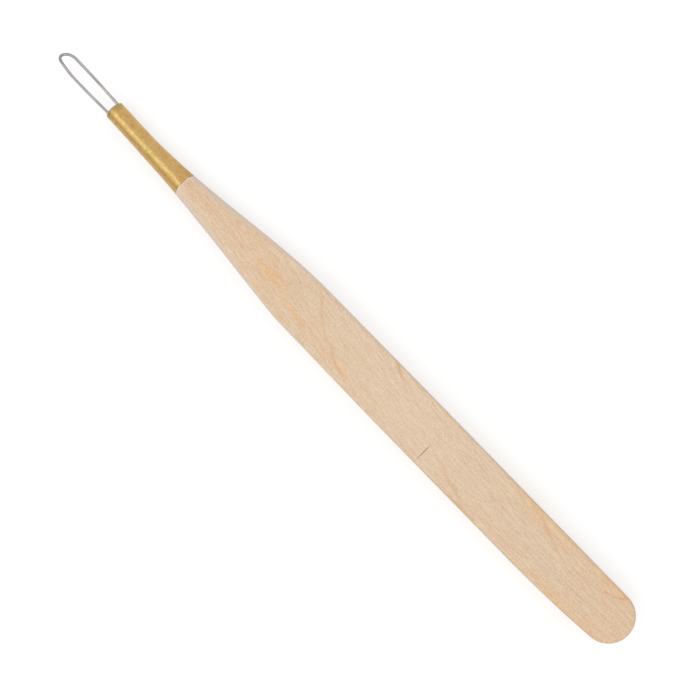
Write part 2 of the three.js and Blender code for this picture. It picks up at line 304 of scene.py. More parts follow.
def lathed(name, profile, sides, capped):
    """Draws a ring along the axis through a profile of (distance, radius), in millimetres. A capped
    one has its first ring filled."""
    deselect()
    at, radius = profile[0]
    bpy.ops.mesh.primitive_circle_add(
        vertices=sides, radius=radius * MM, location=place(at, 0, 0), rotation=(0.0, math.pi / 2, 0.0)
    )
    piece = bpy.context.object
    piece.name = name
    bpy.ops.object.transform_apply(location=True, rotation=True, scale=True)
    edit(piece)
    bpy.ops.mesh.select_all(action="SELECT")
    if capped:
        bpy.ops.mesh.edge_face_add()
        bpy.ops.mesh.duplicate()
    for next_at, next_radius in profile[1:]:
        bpy.ops.mesh.extrude_region_move(
            TRANSFORM_OT_translate={"value": ((next_at - at) * MM, 0.0, 0.0)}
        )
        grown = next_radius / radius
        bpy.ops.transform.resize(value=(1.0, grown, grown), center_override=place(next_at, 0, 0))
        at, radius = next_at, next_radius
    leave()
    close_and_turn_out(piece)
    return piece


def evenly(start, end, steps):
    return [start + (end - start) * i / steps for i in range(steps + 1)]


def eased(value, low, high):
    """Goes from 0 to 1 between low and high, with no corner at either end."""
    t = min(max((value - low) / (high - low), 0.0), 1.0)
    return t * t * (3 - 2 * t)


# Bend and hollow that the pieces share

BEND_STEPS = 4
RIM_HOLLOW_FADE = 3.0  # length in millimetres over which the hollow dies out either way


def bend_nose(piece):
    """Bends a piece sideways just past the tenon: what is in the ferrule's nose leans with it."""
    sizes = settings("ferrule_sizes")
    start = settings("handle_sizes").tenon / MM
    step = sizes.bend / MM / BEND_STEPS
    before = [from_shoulder(vertex.co).x for vertex in piece.data.vertices]
    at, across, heading = start, 0.0, 0.0
    edit(piece)
    for i in range(BEND_STEPS):
        at += step / 2 * math.cos(heading)
        across -= step / 2 * math.sin(heading)
        mesh = bmesh.from_edit_mesh(piece.data)
        for vertex, straight in zip(mesh.verts, before):
            vertex.select = straight > start + (i + 0.5) * step
        mesh.select_flush_mode()
        bmesh.update_edit_mesh(piece.data)
        swing(-sizes.lean / BEND_STEPS, place(at, across, 0))
        heading += sizes.lean / BEND_STEPS
        at += step / 2 * math.cos(heading)
        across -= step / 2 * math.sin(heading)
    leave()


def swing(angle, about):
    """Turns what is selected about an upright axis. With no window the operator turns the other way."""
    bpy.ops.transform.rotate(
        value=-angle if bpy.app.background else angle, orient_axis="Z", center_override=about
    )


def hollow_rim(piece, reach):
    """Draws what lies past a reach from the axis in towards the nose, on top and below."""
    sizes = settings("ferrule_sizes")
    radius = sizes.rim / MM / 2
    group = piece.vertex_groups.new(name="rim_hollow")
    for vertex in piece.data.vertices:
        at = from_shoulder(vertex.co)
        if math.hypot(at.y, at.z) < reach:
            continue
        fade = max(0.0, 1 - abs(at.x) / RIM_HOLLOW_FADE)
        group.add([vertex.index], min(1.0, (at.z / radius) ** 2) * fade, "REPLACE")
    finish_with(
        piece, "DISPLACE", direction="X", mid_level=0.0, strength=sizes.rim_hollow,
        vertex_group=group.name,
    )
    piece.vertex_groups.clear()


# Handle

ARC_HANDLE = 0.5523  # a quarter circle's Bezier handle, as a share of its radius
NECK_SLOPE = 0.075  # how fast each side leaves the neck
PLUS_FLARE_SLOPE = 0.09  # the sanded side ends its flare in a crisp corner
MINUS_FLARE_SLOPE = 0.01  # the other side blends softly into the paddle
SANDING_SLOPE = 0.09  # how steeply the sanded side runs into the round butt
NECK_SPARE = 2.0  # extra neck, in millimetres, that is sawn off square once its edges are rounded
NECK_ROUNDING = 0.99  # the bevel that makes the neck round, as a share of its radius
STRAIGHT_HANDLE = 1.0  # a Bezier handle where a straight stretch begins or ends, in millimetres
SHOULDER_REACH = 0.94  # the part of the shoulder past this share of its radius is hollowed
TENON_SLACK = 0.15  # how far the tenon stays inside the ferrule's wall, in millimetres
TENON_STEPS = 8
OUTLINE_STEPS = 24
EDGE_STEPS = 10


def handle_outline():
    """The plan of the handle, from the neck down one side, round the butt and up the other."""
    sizes = settings("handle_sizes")
    neck = neck_radius() / MM
    half = sizes.width / MM / 2
    end = -sizes.length / MM
    depth = sizes.sanding_depth / MM
    butt_radius = half - depth / 2
    butt_x = end + butt_radius
    butt_y = -depth / 2
    reach = ARC_HANDLE * butt_radius
    sanding = sizes.sanding / MM
    swell = sizes.swell / MM

    def flare(flare_length, inset, slope):
        """The neck, the flare's corner and the full width of one side, in that order."""
        corner = half - inset
        third = flare_length / 3
        swelling = inset / 3
        return [
            [(NECK_SPARE, neck), (NECK_SPARE, neck), (NECK_SPARE / 2, neck)],
            [(0, neck), (NECK_SPARE / 2, neck), (-third, neck + NECK_SLOPE * third)],
            [
                (-flare_length, corner),
                (third - flare_length, corner - slope * third),
                (-flare_length - swell / 3, corner + swelling),
            ],
            [
                (-flare_length - swell, half),
                (-flare_length - swell * 2 / 3, half - swelling),
                (-flare_length - swell - STRAIGHT_HANDLE, half),
            ],
        ]

    plus = flare(sizes.plus_flare / MM, sizes.plus_inset / MM, PLUS_FLARE_SLOPE)
    minus = flare(sizes.minus_flare / MM, sizes.minus_inset / MM, MINUS_FLARE_SLOPE)
    sanded = [
        [
            (butt_x + sanding, half),
            (butt_x + sanding + STRAIGHT_HANDLE, half),
            (butt_x + sanding * 2 / 3, half),
        ],
        [
            (butt_x, half - depth),
            (butt_x + sanding / 3, half - depth + SANDING_SLOPE * sanding / 3),
            (butt_x - reach, half - depth),
        ],
    ]
    butt = [
        [(end, butt_y), (end, butt_y + reach), (end, butt_y - reach)],
        [(butt_x, -half), (butt_x - reach, -half), (butt_x + STRAIGHT_HANDLE, -half)],
    ]
    back = [[(x, -y) for x, y in (at, after, before)] for at, before, after in reversed(minus)]
    return [[(x, y, 0) for x, y in anchor] for anchor in plus + sanded + butt + back]


def neck_radius():
    """In metres: the neck stands out past the ferrule's rim by a hair."""
    return settings("ferrule_sizes").rim / 2 + settings("handle_sizes").proud


def model_handle():
    """Draws the plan, extrudes it into a slab, eases the edges and draws out the tenon."""
    sizes = settings("handle_sizes")
    slab = as_mesh(drawn_line("handle_plan", handle_outline(), closed=True, steps=OUTLINE_STEPS))
    edit(slab)
    bpy.ops.mesh.select_all(action="SELECT")
    bpy.ops.mesh.remove_doubles(threshold=MERGE * MM)
    bpy.ops.mesh.select_all(action="SELECT")
    bpy.ops.transform.translate(value=(0.0, 0.0, -sizes.thickness / 2))
    bpy.ops.mesh.extrude_region_move(TRANSFORM_OT_translate={"value": (0.0, 0.0, sizes.thickness)})
    for side in (-1, 1):
        select_where(slab, lambda at: at.z * side > 0)
        bpy.ops.mesh.edge_face_add()
    leave()
    close_and_turn_out(slab)
    ease_edges(slab)
    draw_out_tenon(slab)
    hollow_rim(slab, reach=SHOULDER_REACH * neck_radius() / MM)
    shade_smooth(slab, corner_degrees=35)
    return slab


def ease_edges(handle):
    """Bevels the long edges, a little on the paddle and more and more towards the round neck."""
    sizes = settings("handle_sizes")
    neck = NECK_ROUNDING * neck_radius()
    mesh = handle.data
    weights = mesh.attributes.new("bevel_weight_edge", "FLOAT", "EDGE")
    shortest_flare = min(sizes.plus_flare, sizes.minus_flare) / MM
    for edge in mesh.edges:
        a, b = (from_shoulder(mesh.vertices[i].co) for i in edge.vertices)
        upright = abs(a.z - b.z) > NEAR
        across_the_neck = min(a.x, b.x) > NECK_SPARE - NEAR
        if upright or across_the_neck:
            continue
        flat = eased(-(a.x + b.x) / 2, 0.0, shortest_flare)
        weights.data[edge.index].value = 1 + (sizes.edge / neck - 1) * flat
    finish_with(
        handle, "BEVEL", limit_method="WEIGHT", width=neck, segments=EDGE_STEPS, profile=0.5,
        use_clamp_overlap=False,
    )


def draw_out_tenon(handle):
    """Saws the neck off at the shoulder, and insets and extrudes its end into the tapered tenon."""
    sizes = settings("handle_sizes")
    tube = settings("ferrule_sizes")
    edit(handle)
    bpy.ops.mesh.select_all(action="SELECT")
    bpy.ops.mesh.bisect(
        plane_co=place(0, 0, 0), plane_no=(1.0, 0.0, 0.0), use_fill=True, clear_outer=True
    )
    select_where(handle, lambda at: at.x > -NEAR)
    bpy.ops.mesh.inset(thickness=tube.wall + TENON_SLACK * MM)
    at, radius = 0.0, bore_radius(0.0)
    for next_at in evenly(0.0, sizes.tenon / MM, TENON_STEPS)[1:]:
        next_radius = bore_radius(next_at)
        bpy.ops.mesh.extrude_region_move(
            TRANSFORM_OT_translate={"value": ((next_at - at) * MM, 0.0, 0.0)}
        )
        shrink = next_radius / radius
        bpy.ops.transform.resize(value=(1.0, shrink, shrink), center_override=place(next_at, 0, 0))
        at, radius = next_at, next_radius
    leave()


# Ferrule

FLARE_POWER = 1.9  # how fast the flare dies out towards the nose
LIP_FLAT = 0.12  # length of the straight mouth behind the lip, in millimetres
LIP_TURN = 0.33  # length over which the wall turns in
RIM_ROUND = 0.09  # radius of the rim's outer edge
WIRE_GAP = 0.06  # between the wire's legs and the mouth
TUBE_SIDES = 96
OUTSIDE_STEPS = 60
LIP_STEPS = 10
BORE_STEPS = 40
RIM_STEPS = 4


def tube_radius(at):
    """The ferrule's outside at a distance from its rim, in millimetres."""
    sizes = settings("ferrule_sizes")
    nose = sizes.nose / MM / 2
    left = max(0.0, 1 - at / (sizes.flare / MM))
    return nose + (sizes.rim / MM / 2 - nose) * left ** FLARE_POWER


def bore_radius(at):
    return tube_radius(at) - settings("ferrule_sizes").wall / MM


def mouth_radius():
    loop = settings("loop_sizes")
    return (loop.leg_spacing / 2 + loop.wire / 2) / MM + WIRE_GAP


def model_ferrule():
    """Round the rim, out along the outside, round the lip, in at the mouth and back down the bore."""
    sizes = settings("ferrule_sizes")
    end = sizes.length / MM
    lip = sizes.lip / MM
    nose = tube_radius(end)
    rim_edge = tube_radius(0) - RIM_ROUND
    rim = [
        (RIM_ROUND - RIM_ROUND * math.cos(angle), rim_edge + RIM_ROUND * math.sin(angle))
        for angle in evenly(0, math.pi / 2, RIM_STEPS)[:-1]
    ]
    outside = [(at, tube_radius(at)) for at in evenly(RIM_ROUND, end - lip, OUTSIDE_STEPS)]
    lip_round = [
        (end - lip + lip * math.sin(angle), nose - lip + lip * math.cos(angle))
        for angle in evenly(0, math.pi / 2, LIP_STEPS)[1:]
    ]
    mouth = [(end, mouth_radius()), (end - LIP_FLAT, mouth_radius())]
    bore = [(at, bore_radius(at)) for at in evenly(end - LIP_FLAT - LIP_TURN, 0, BORE_STEPS)]
    profile = [*rim, *outside, *lip_round, *mouth, *bore, rim[0]]
    profile = [(at + SHOULDER_GAP, radius) for at, radius in profile]
    ferrule = lathed("ferrule", profile, TUBE_SIDES, capped=False)
    hollow_rim(ferrule, reach=0.0)
    bend_nose(ferrule)
    shade_smooth(ferrule, corner_degrees=40)
    return ferrule


# Setting resin

FILLING_GAP = 0.06  # from the tenon and from the lip, in millimetres
FILLING_SLACK = 0.03  # from the bore
FILLING_SIDES = 48
WALL_STEPS = 24
DISH_DEPTH = 0.18
DISH_RINGS = (0.97, 0.9, 0.8, 0.65, 0.5, 0.35, 0.2, 0.1)  # as shares of the face's radius


def model_filling():
    """The resin in the nose, with a dished face a little way behind the lip. It has no holes: the
    wire's legs run through it."""
    back = SHOULDER_GAP + settings("handle_sizes").tenon / MM + FILLING_GAP
    front = SHOULDER_GAP + settings("ferrule_sizes").length / MM - LIP_FLAT - LIP_TURN - FILLING_GAP
    wall = [
        (at, bore_radius(at - SHOULDER_GAP) - FILLING_SLACK) for at in evenly(back, front, WALL_STEPS)
    ]
    radius = wall[-1][1]
    dish = [(front - DISH_DEPTH * (1 - share ** 2), radius * share) for share in DISH_RINGS]
    filling = lathed("filling", [*wall, *dish], FILLING_SIDES, capped=True)
    deepest, hole = dish[-1]
    edit(filling)
    select_where(
        filling, lambda at: abs(at.x - deepest) < MERGE and math.hypot(at.y, at.z) < hole + NEAR
    )
    bpy.ops.mesh.edge_face_add()
    leave()
    close_and_turn_out(filling)
    bend_nose(filling)
    shade_smooth(filling, corner_degrees=50)
    return filling


# Wire loop

LEG_HANDLE = 2.0  # the Bezier handles of the straight, buried legs, in millimetres
LOOP_STEPS = 20
WIRE_ROUNDNESS = 6


def loop_line():
    """The wire's centreline from one leg's end round to the other's, before it leans."""
    sizes = settings("loop_sizes")
    mouth = SHOULDER_GAP + settings("ferrule_sizes").length / MM
    buried = -sizes.buried / MM
    leg = sizes.leg_spacing / MM / 2
    belly = sizes.belly / MM / 2
    belly_at = (sizes.reach - sizes.belly_to_tip) / MM
    tip = sizes.tip_width / MM / 2
    tip_length = sizes.tip_length / MM
    tip_at = (sizes.reach - sizes.wire / 2) / MM - tip_length
    skew = sizes.tip_skew / MM
    shift = sizes.tip_shift / MM
    leaving = (belly - leg) * math.pi / 2 / belly_at
    run = (tip_at - belly_at) / 3

    def side(sign):
        """One leg from its end to where the rounded tip begins."""
        tip_y = tip - sign * shift
        closing = 2 * (belly - tip_y) / (tip_at - belly_at)
        return [
            [(buried, leg), (buried - LEG_HANDLE, leg), (buried + LEG_HANDLE, leg)],
            [(0, leg), (-LEG_HANDLE, leg), (belly_at / 3, leg + leaving * belly_at / 3)],
            [(belly_at, belly), (belly_at * 2 / 3, belly), (belly_at + run, belly)],
            [
                (tip_at, tip_y),
                (tip_at - run, tip_y + closing * run),
                (tip_at + ARC_HANDLE * tip_length, tip_y - closing * ARC_HANDLE * tip_length),
            ],
        ]

    crown = [
        (tip_at + tip_length, skew),
        (tip_at + tip_length, skew + ARC_HANDLE * tip),
        (tip_at + tip_length, skew - ARC_HANDLE * tip),
    ]
    back = [[(x, -y) for x, y in (at, after, before)] for at, before, after in reversed(side(-1))]
    return [[(mouth + x, y, 0) for x, y in anchor] for anchor in side(1) + [crown] + back]


def model_loop():
    """Gives the line its thickness, and leans the loop with the nose and a little back again."""
    sizes = settings("loop_sizes")
    line = drawn_line("loop_line", loop_line(), closed=False, steps=LOOP_STEPS)
    line.data.bevel_depth = sizes.wire / 2
    line.data.bevel_resolution = WIRE_ROUNDNESS
    line.data.use_fill_caps = True
    loop = as_mesh(line)
    close_and_turn_out(loop)
    mouth = SHOULDER_GAP + settings("ferrule_sizes").length / MM
    edit(loop)
    select_where(loop, lambda at: at.x > mouth + NEAR)
    swing(sizes.lean_back, place(mouth, 0, 0))
    leave()
    bend_nose(loop)
    shade_smooth(loop, corner_degrees=40)
    return loop


# Finishes, whose patterns and marks are in millimetres

MARK_DEPTH = 40.0  # far past the thickness of any piece


def add_node(tree, kind, inputs=None, **values):
    """Adds a node with its settings, and links or sets its inputs."""
    node = tree.nodes.new(kind)
    for name, value in values.items():
        setattr(node, name, value)
    for name, value in (inputs or {}).items():
        if isinstance(value, bpy.types.NodeSocket):
            tree.links.new(value, node.inputs[name])
        else:
            node.inputs[name].default_value = value
    return node


def cleared_tree(owner):
    """The node tree of a new material or world, with nothing in it yet."""
    owner.use_nodes = True
    owner.node_tree.nodes.clear()
    return owner.node_tree


def new_finish(name, shader_inputs):
    """A material with a Principled shader, and the places on the piece in millimetres."""
    material = bpy.data.materials.new(name)
    tree = cleared_tree(material)
    shader = add_node(tree, "ShaderNodeBsdfPrincipled", shader_inputs)
    add_node(tree, "ShaderNodeOutputMaterial", {"Surface": shader.outputs["BSDF"]})
    coordinates = add_node(tree, "ShaderNodeTexCoord")
    places = add_node(
        tree, "ShaderNodeMapping", {"Vector": coordinates.outputs["Object"], "Location": -SHOULDER}
    )
    millimetres = add_node(
        tree, "ShaderNodeVectorMath", {0: places.outputs["Vector"], "Scale": 1 / MM}, operation="SCALE"
    )
    return material, tree, shader, millimetres.outputs["Vector"]


def grained(tree, places, size, detail=2.0, roughness=0.5):
    """Noise whose grains have a size in millimetres along X, Y and Z."""
    grains = add_node(
        tree, "ShaderNodeMapping", {"Vector": places, "Scale": tuple(1 / side for side in size)}
    )
    noise = add_node(
        tree, "ShaderNodeTexNoise",
        {"Vector": grains.outputs["Vector"], "Scale": 1.0, "Detail": detail, "Roughness": roughness},
    )
    return noise.outputs["Fac"]


def soft_mark(tree, places, centre, half_length, half_width, angle_degrees):
    """A long soft mark, full along its middle, that goes through the piece's whole thickness."""
    mapping = add_node(
        tree, "ShaderNodeMapping",
        {
            "Vector": places, "Location": (*centre, 0.0),
            "Rotation": (0.0, 0.0, math.radians(angle_degrees)),
            "Scale": (half_length, half_width, MARK_DEPTH),
        },
        vector_type="TEXTURE",
    )
    gradient = add_node(
        tree, "ShaderNodeTexGradient", {"Vector": mapping.outputs["Vector"]}, gradient_type="SPHERICAL"
    )
    return gradient.outputs["Fac"]


def laid_over(tree, base, tint, pattern, amount=1.0, span=None, blend="MIX"):
    """The base colour with a tint laid over it, by an amount, as strongly as a pattern says. A span
    holds the pattern's values where the tint begins and where it is full, with soft ends."""
    low, high = span or (0.0, 1.0)
    share = add_node(
        tree, "ShaderNodeMapRange",
        {"Value": pattern, "From Min": low, "From Max": high, "To Max": amount},
        interpolation_type="SMOOTHSTEP" if span else "LINEAR",
    )
    mix = add_node(
        tree, "ShaderNodeMix", {0: share.outputs["Result"], 6: base, 7: tint},
        data_type="RGBA", blend_type=blend,
    )
    return mix.outputs[2]


def bumped(tree, bumps):
    """The surface's normal under bumps, each of a pattern, a strength and a height in millimetres."""
    under = {}
    for pattern, bump_strength, height in bumps:
        bump = add_node(
            tree, "ShaderNodeBump",
            {"Strength": bump_strength, "Distance": height * MM, "Height": pattern, **under},
        )
        under = {"Normal": bump.outputs["Normal"]}
    return bump.outputs["Normal"]


GRAIN_LEAN = 7.5  # how far the grain leans across the handle, all of it on the neck's side
GRAIN_STRAIGHT = -75.0  # from here to the butt the grain is straight
MARK_WANDER = 1.6  # how far the marks in the wood stray from straight
WANDER_SCALE = 0.35  # strays per millimetre
SHEEN_STRETCH = (-60.0, -18.0)  # where the painted sheen begins along the handle, and where it is full


def leaning_grain(tree, places):
    """Places for the grain, which leans across the flare and straightens out along the paddle."""
    axes = add_node(tree, "ShaderNodeSeparateXYZ", {"Vector": places})
    lean = add_node(
        tree, "ShaderNodeMapRange",
        {"Value": axes.outputs["X"], "From Min": GRAIN_STRAIGHT, "From Max": 0.0, "To Max": GRAIN_LEAN},
        interpolation_type="SMOOTHSTEP",
    )
    offset = add_node(tree, "ShaderNodeCombineXYZ", {"Y": lean.outputs["Result"]})
    moved = add_node(
        tree, "ShaderNodeVectorMath", {0: places, 1: offset.outputs["Vector"]}, operation="ADD"
    )
    return moved.outputs["Vector"]


def wandering(tree, places):
    """Places that stray a little across the handle, so that no mark in the wood is quite straight."""
    noise = add_node(
        tree, "ShaderNodeTexNoise", {"Vector": places, "Scale": WANDER_SCALE, "Detail": 3.0}
    )
    centred = add_node(
        tree, "ShaderNodeVectorMath",
        {0: noise.outputs["Color"], 1: (0.5, 0.5, 0.5)}, operation="SUBTRACT",
    )
    moved = add_node(
        tree, "ShaderNodeVectorMath",
        {0: centred.outputs["Vector"], 1: (0.0, MARK_WANDER, 0.0), 2: places}, operation="MULTIPLY_ADD",
    )
    return moved.outputs["Vector"]


def painted_edge_sheen(tree, places, fibres):
    """How strongly the painted sheen shows: a pale, cool reflection and extra light painted where the flare
    is rounded away from the broad face, more along some fibres than others, and less on the upright flanks.
    Flat is 1 on the broad face and 0 on the flanks."""
    axes = add_node(tree, "ShaderNodeSeparateXYZ", {"Vector": places})
    coordinates = add_node(tree, "ShaderNodeTexCoord")
    facing = add_node(tree, "ShaderNodeSeparateXYZ", {"Vector": coordinates.outputs["Normal"]})
    flat = add_node(tree, "ShaderNodeMath", {0: facing.outputs["Z"]}, operation="ABSOLUTE")
    shown = 1.0
    for value, low, high, least, most, ramp in (
        (axes.outputs["X"], *SHEEN_STRETCH, 0.0, 1.0, "SMOOTHSTEP"),
        (flat.outputs[0], 1.02, 0.6, 0.0, 1.0, "SMOOTHSTEP"),
        (fibres, 0.3, 0.7, 1.1, 0.5, "LINEAR"),
        (flat.outputs[0], 0.1, 0.45, 0.4, 1.0, "LINEAR"),
    ):
        share = add_node(
            tree, "ShaderNodeMapRange",
            {"Value": value, "From Min": low, "From Max": high, "To Min": least, "To Max": most},
            interpolation_type=ramp,
        )
        shown = add_node(
            tree, "ShaderNodeMath", {0: shown, 1: share.outputs["Result"]}, operation="MULTIPLY"
        ).outputs[0]
    return shown


def from_rim(tree, places):
    """Millimetres along the handle from the hollowed edge of its shoulder."""
    hollow = settings("ferrule_sizes").rim_hollow / MM / (neck_radius() / MM) ** 2
    axes = add_node(tree, "ShaderNodeSeparateXYZ", {"Vector": places})
    height = add_node(
        tree, "ShaderNodeMath", {0: axes.outputs["Z"], 1: axes.outputs["Z"]}, operation="MULTIPLY"
    )
    distance = add_node(
        tree, "ShaderNodeMath",
        {0: height.outputs[0], 1: -hollow, 2: axes.outputs["X"]}, operation="MULTIPLY_ADD",
    )
    return distance.outputs[0]


# Marks in the wood, seen on the broad face: the middle, half the length and half the width in
# millimetres, the angle to the handle in degrees, and how strong they are. First the late wood at the
# end of a year's growth, then warm streaks, paler stretches and short dark hairlines.
GROWTH_LINES = [
    ((-22.3, -0.5), 2.0, 0.6, 172.0, 0.3),
    ((-31.6, -2.0), 6.5, 0.4, 140.7, 0.4),
    ((-38.8, 2.3), 6.0, 0.45, 159.0, 0.4),
    ((-48.0, -4.3), 4.0, 0.5, 155.0, 0.55),
    ((-67.9, 2.9), 6.5, 0.45, 163.7, 0.35),
    ((-72.0, 4.75), 5.0, 0.4, 2.0, 0.5),
    ((-85.3, -3.2), 7.5, 0.5, 162.2, 0.4),
    ((-95.3, -1.9), 5.5, 0.4, 5.4, 0.25),
    ((-96.0, -2.3), 3.2, 0.3, 177.5, 0.3),
    ((-100.1, -2.8), 2.4, 0.35, 21.0, 0.55),
    ((-102.5, -4.2), 2.0, 0.4, 40.0, 0.55),
    ((-105.0, 0.0), 15.0, 9.0, 0.0, 0.12),
]
WARM_STREAKS = [
    ((-21.0, 0.2), 4.2, 1.3, 178.0, 0.7),
    ((-28.3, 2.0), 6.5, 0.5, 167.1, 0.5),
    ((-41.0, 2.7), 2.6, 0.8, 162.0, 0.7),
    ((-84.0, -5.0), 12.0, 3.2, 0.0, 0.45),
    ((-101.5, -5.2), 9.0, 1.8, 10.0, 0.6),
    ((-98.0, 4.7), 12.0, 0.8, 175.0, 0.45),
]
PALE_STRETCHES = [
    ((-52.0, 0.0), 26.0, 9.0, 0.0, 0.16),
]
HAIRLINES = [
    ((-61.1, 2.6), 2.6, 0.14, 91.0, 0.65),
    ((-104.7, 0.6), 0.3, 0.2, 20.0, 0.35),
]


def hardwood_finish():
    """Pale maple or birch, sanded and left bare: matt, with fine dark flecks along the grain, soft
    growth lines that slant across the face, and a painted cool sheen where the edges are rounded."""
    colours = settings("finishes")
    material, tree, shader, places = new_finish(
        "bare_hardwood", {"Roughness": 0.62, "Specular IOR Level": 0.3}
    )
    grain = leaning_grain(tree, places)
    drift = grained(tree, grain, (60.0, 5.0, 5.0), detail=1.0)
    streaks = grained(tree, grain, (26.0, 0.8, 2.0), detail=3.0)
    # Real fibres and pores are under 0.1 mm across: they are drawn twice as coarse, so that they show.
    lines = grained(tree, grain, (9.0, 0.2, 0.2), roughness=0.6)
    fibres = grained(tree, grain, (2.0, 0.19, 0.19), roughness=0.6)
    pores = grained(tree, grain, (0.35, 0.16, 0.16), detail=1.0)
    flecks = grained(tree, grain, (1.5, 0.2, 0.3), detail=0.0)
    base = laid_over(tree, colours.wood, colours.wood_warm, drift, 0.3, span=(0.4, 0.7))
    base = laid_over(tree, base, colours.wood_dark, streaks, 0.3, span=(0.5, 0.8))
    for pattern, amount in ((lines, 0.28), (fibres, 0.42), (pores, 0.45)):
        base = laid_over(tree, base, colours.wood_pale, pattern, amount, span=(0.52, 0.3))
        base = laid_over(tree, base, colours.wood_dark, pattern, amount, span=(0.5, 0.72))
    base = laid_over(tree, base, colours.wood_dark, flecks, 0.25, span=(0.66, 0.76))

    straying = wandering(tree, places)
    warmth = [warm / plain for warm, plain in zip(colours.wood_warm, colours.wood)]
    for marks, tint, blend in (
        (PALE_STRETCHES, colours.wood_pale, "MIX"),
        (WARM_STREAKS, warmth, "MULTIPLY"),
        (GROWTH_LINES, colours.wood_line, "MIX"),
    ):
        for *shape, amount in marks:
            base = laid_over(tree, base, tint, soft_mark(tree, straying, *shape), amount, blend=blend)
    # Painted sheen: the rounded edges are painted paler and cooler where they turn away from the broad face
    base = laid_over(tree, base, colours.wood_sheen, painted_edge_sheen(tree, places, fibres))
    for *shape, amount in HAIRLINES:
        mark = soft_mark(tree, places, *shape)
        base = laid_over(tree, base, colours.hairline, mark, amount, span=(0.1, 0.6))
    # Painted highlight along the shoulder's edge at the ferrule's rim
    base = laid_over(tree, base, colours.shoulder, from_rim(tree, places), 0.75, span=(-0.35, -0.08))
    tree.links.new(base, shader.inputs["Base Color"])
    tree.links.new(bumped(tree, [(fibres, 0.25, 0.02)]), shader.inputs["Normal"])
    return material


HIGHLIGHT_TINT = (0.98, 1.11, 1.14, 1.0)  # painted highlight: along the lamp's reflection the brass is painted paler, less red, more green and blue
HIGHLIGHT_MARK = ((9.5, 0.4), 13.0, 1.1, -1.0)  # written as the marks in the wood are
# Painted shade near the rim on one side, where the wood's step darkens the metal's reflection
RIM_SHADE_MARK = ((1.0, -2.3), 4.0, 1.3, 0.0)
NOSE_SHADE = (1.5, 0.1)  # how far from the nose's end the painted shade on the lip begins, and where it is full


def brass_finish():
    """Drawn brass with a thin tarnish: a satin metal whose fine marks run round the tube, so that
    the highlight along it breaks up. A paler tint along the highlight, and shade near the rim and on the
    lip, are painted into its colour."""
    colours = settings("finishes")
    material, tree, shader, places = new_finish("drawn_brass", {"Metallic": 1.0})
    # Real specks and rings are finer: these are one or two pixels of the picture wide, so that they show.
    mottle = grained(tree, places, (0.36, 0.26, 0.26), detail=4.0, roughness=0.7)
    rings = grained(tree, places, (0.16, 2.0, 2.0))
    grains = grained(tree, places, (0.3, 0.3, 0.3), detail=1.0)
    blotches = grained(tree, places, (1.6, 0.9, 0.9))
    highlight_band = soft_mark(tree, places, *HIGHLIGHT_MARK)
    handled = soft_mark(tree, places, *RIM_SHADE_MARK)
    axes = add_node(tree, "ShaderNodeSeparateXYZ", {"Vector": places})
    nose_end = settings("ferrule_sizes").length / MM
    nose_shade_span = [nose_end - distance for distance in NOSE_SHADE]
    base = laid_over(tree, colours.brass, colours.tarnish, mottle, 0.6, span=(0.46, 0.68))
    base = laid_over(tree, base, colours.brass_pale, mottle, 0.55, span=(0.52, 0.3))
    for pattern in (grains, blotches):
        base = laid_over(tree, base, colours.brass_red, pattern, 0.35, span=(0.5, 0.7))
    base = laid_over(tree, base, colours.tarnish, rings, 0.25, span=(0.45, 0.75))
    # Painted highlight: paler, greener brass along the key lamp's reflection
    base = laid_over(tree, base, HIGHLIGHT_TINT, highlight_band, blend="MULTIPLY")
    # Painted shade near the rim on one side of the ferrule
    base = laid_over(tree, base, colours.tarnish, handled)
    # Painted shade on the rounded lip at the nose
    base = laid_over(tree, base, colours.brass_lip_shade, axes.outputs["X"], 0.9, span=nose_shade_span)
    tree.links.new(base, shader.inputs["Base Color"])
    rough = add_node(tree, "ShaderNodeMapRange", {"Value": mottle, "To Min": 0.26, "To Max": 0.42})
    tree.links.new(rough.outputs["Result"], shader.inputs["Roughness"])
    tree.links.new(bumped(tree, [(rings, 0.5, 0.02), (mottle, 0.5, 0.03)]), shader.inputs["Normal"])
    return material


SHADED_LEG_SPAN = (0.3, 1.1)  # where the painted shade on one leg begins across the tool, and where it is full
BENT_END = (1.6, 0.4)  # how far from the loop's tip the bent wire begins, and where it is full


def steel_finish():
    """Drawn spring steel: a dull bright metal with fine lines along the wire."""
    colours = settings("finishes")
    material, tree, shader, places = new_finish("spring_steel", {"Metallic": 1.0, "Roughness": 0.2})
    # Real draw lines are far finer: these are half as wide as the wire, so that they show.
    lines = grained(tree, places, (5.0, 0.24, 0.3))
    blotches = grained(tree, places, (1.2, 0.6, 0.6))
    axes = add_node(tree, "ShaderNodeSeparateXYZ", {"Vector": places})
    tip = (settings("ferrule_sizes").length + settings("loop_sizes").reach) / MM
    bent = [tip - distance for distance in BENT_END]
    base = laid_over(tree, colours.steel, colours.steel_line, lines, 0.75, span=(0.42, 0.62))
    base = laid_over(tree, base, colours.steel_blotch, blotches, 0.5, span=(0.5, 0.7))
    # Painted shade: the leg on the +Y side is painted darker
    base = laid_over(tree, base, colours.steel_shaded_leg, axes.outputs["Y"], 0.5, span=SHADED_LEG_SPAN)
    base = laid_over(tree, base, colours.steel_bent, axes.outputs["X"], 0.4, span=bent)
    tree.links.new(base, shader.inputs["Base Color"])
    tree.links.new(bumped(tree, [(lines, 0.3, 0.005)]), shader.inputs["Normal"])
    return material


def resin_finish():
    """Hardened amber resin: smooth and a little cloudy."""
    colours = settings("finishes")
    material, tree, shader, places = new_finish("setting_resin", {"Roughness": 0.28, "IOR": 1.5})
    clouds = grained(tree, places, (0.6, 0.6, 0.6))
    base = laid_over(tree, colours.filling, colours.filling_dark, clouds, 0.5)
    tree.links.new(base, shader.inputs["Base Color"])
    return material


# Studio, in metres

